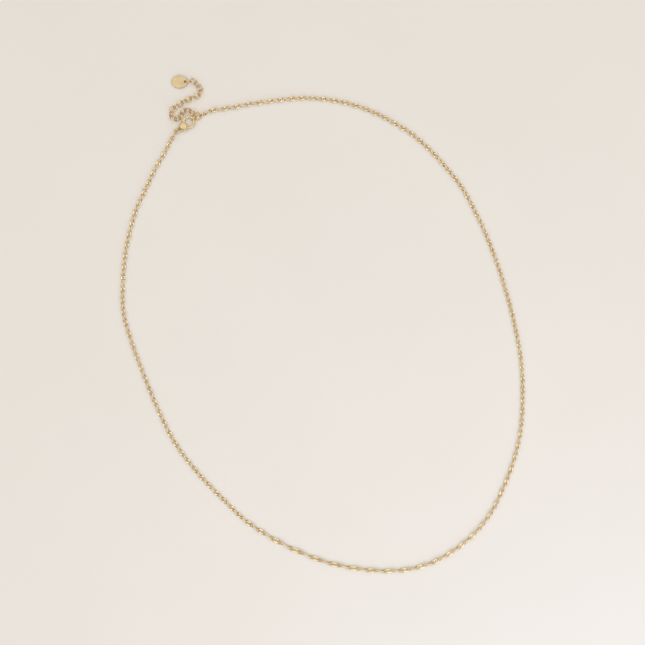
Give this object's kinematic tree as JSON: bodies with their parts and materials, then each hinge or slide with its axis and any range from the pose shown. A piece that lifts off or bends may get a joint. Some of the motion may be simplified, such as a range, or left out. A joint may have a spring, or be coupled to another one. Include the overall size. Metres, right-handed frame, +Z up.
{
  "type": "singapore chain necklace",
  "caption": "Fine gold-coloured twisted-link neck chain with a lobster clasp hooked into its extender of round rings and a small oval end tag.",
  "frame": {"origin": "middle of the necklace's footprint, on the surface on which it lies", "axes": "+Z up from the surface, +Y along the loop's long way towards the clasp and extender, +X across the loop to the right seen from above"},
  "size_m": [0.1346, 0.1657, 0.0029],
  "materials": {
    "chain_gold": "polished, flattened facets",
    "ring_gold": "polished wire",
    "clasp_gold": "polished",
    "tag_gold": "satin"
  },
  "bodies": {
    "necklace": {"chain_a": "chain_gold", "chain_b": "chain_gold", "chain_end_link_clasp": "chain_gold", "chain_end_link_tail": "chain_gold", "clasp_body": "clasp_gold", "clasp_pin": "clasp_gold", "clasp_jump_ring": "ring_gold", "extender_ring_1": "ring_gold", "extender_ring_2": "ring_gold", "extender_ring_3": "ring_gold", "extender_ring_4": "ring_gold", "extender_ring_5": "ring_gold", "extender_ring_6": "ring_gold", "extender_ring_7": "ring_gold", "extender_ring_8": "ring_gold", "extender_ring_9": "ring_gold", "extender_ring_10": "ring_gold", "extender_ring_11": "ring_gold", "extender_ring_12": "ring_gold", "extender_ring_13": "ring_gold", "extender_ring_14": "ring_gold", "extender_ring_15": "ring_gold", "extender_ring_16": "ring_gold", "extender_ring_17": "ring_gold", "extender_ring_18": "ring_gold", "extender_ring_19": "ring_gold", "extender_ring_20": "ring_gold", "extender_ring_21": "ring_gold", "tag_ring": "ring_gold", "tag": "tag_gold"},
    "lever": {"clasp_lever": "clasp_gold"}
  },
  "joints": [
    {"name": "clasp_lever_hinge", "type": "hinge", "parent": "necklace", "child": "lever", "pos_m": [-0.04669, 0.0661, 0.001], "axis": [0, 0, -1], "range_deg": [0, 24], "stiffness_Nm_per_rad": 0.002, "springref_deg": -5.73}
  ]
}
